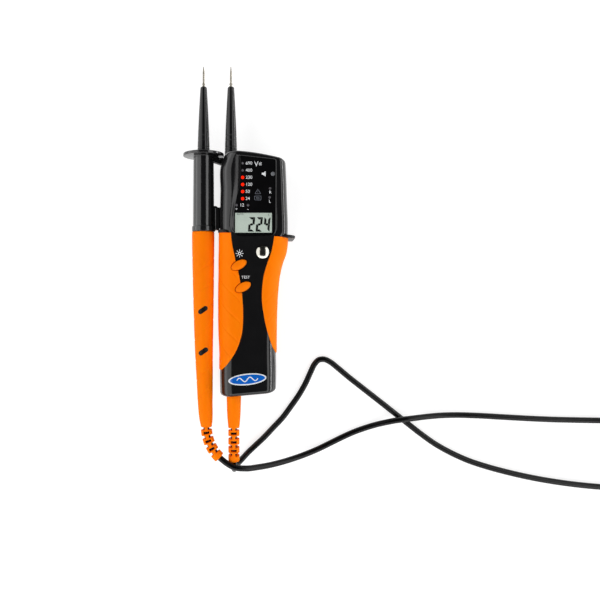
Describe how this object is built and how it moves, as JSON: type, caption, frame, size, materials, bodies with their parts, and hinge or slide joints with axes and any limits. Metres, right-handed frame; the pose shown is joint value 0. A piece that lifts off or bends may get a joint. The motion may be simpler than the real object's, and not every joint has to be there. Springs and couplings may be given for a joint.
{
  "type": "two-pole voltage tester",
  "caption": "Two-pole voltage tester: a display unit with soft grips and buttons, a docked probe handset joined to it by a cord, bare probe tips and ribbed strain reliefs.",
  "frame": {"origin": "on the flat back of the main unit, on its centre line, level with the finger guard", "axes": "+Y towards the probe tips, +Z out of the display, +X to the right of someone who reads it"},
  "size_m": [0.36, 0.3011, 0.0364],
  "materials": {
    "housing_black": "matte",
    "grip_orange": "satin",
    "window_black": "glossy",
    "lcd_grey_green": "satin",
    "lamp_red": "glossy",
    "lamp_dark": "glossy",
    "lamp_clear": "glossy",
    "lens_grey": "glossy",
    "badge_blue": "glossy",
    "button_orange": "satin",
    "electrode_metal": "polished",
    "sleeve_black": "satin",
    "pin_metal": "polished",
    "clear_lens": "glossy",
    "board_green": "satin",
    "switch_black": "matte",
    "cell_wrap": "satin",
    "steel": "satin",
    "cord_black": "satin"
  },
  "bodies": {
    "main_unit": {"front_shell": "housing_black", "rear_shell": "housing_black", "left_grip": "grip_orange", "right_grip": "grip_orange", "display_window": "window_black", "lcd_module": "lcd_grey_green", "lit_lamps": "lamp_red", "dark_lamps": "lamp_dark", "polarity_lamps": "lamp_clear", "round_lens": "lens_grey", "badge_plate": "badge_blue", "touch_electrode": "electrode_metal", "main_sleeve": "sleeve_black", "main_pin": "pin_metal", "head_light": "clear_lens", "circuit_board": "board_green", "push_switches": "switch_black", "buzzer": "switch_black", "battery_cells": "cell_wrap", "battery_contacts": "steel", "shell_screws": "steel", "main_strain_relief": "grip_orange", "main_cord_end": "cord_black", "cord_main_run": "cord_black", "cord_coil": "cord_black", "cord_handset_run": "cord_black"},
    "handset": {"handset_barrel": "housing_black", "handset_core": "sleeve_black", "handset_grip": "grip_orange", "grip_inlays": "sleeve_black", "handset_sleeve": "sleeve_black", "handset_pin": "pin_metal", "resistor_board": "board_green", "handset_strain_relief": "grip_orange", "handset_cord_end": "cord_black"},
    "lamp_button": {"lamp_button": "button_orange"},
    "test_button": {"test_button": "button_orange"},
    "battery_door": {"battery_cover": "housing_black", "cover_screw": "steel"}
  },
  "joints": [
    {"name": "handset_dock", "type": "slide", "parent": "main_unit", "child": "handset", "axis": [-1, 0, 0], "range_m": [0, 0.06]},
    {"name": "lamp_press", "type": "slide", "parent": "main_unit", "child": "lamp_button", "axis": [0, 0, -1], "range_m": [0, 0.001], "stiffness_N_per_m": 500},
    {"name": "test_press", "type": "slide", "parent": "main_unit", "child": "test_button", "axis": [0, 0, -1], "range_m": [0, 0.001], "stiffness_N_per_m": 500},
    {"name": "battery_door_off", "type": "slide", "parent": "main_unit", "child": "battery_door", "axis": [0, 0, -1], "range_m": [0, 0.012]}
  ]
}
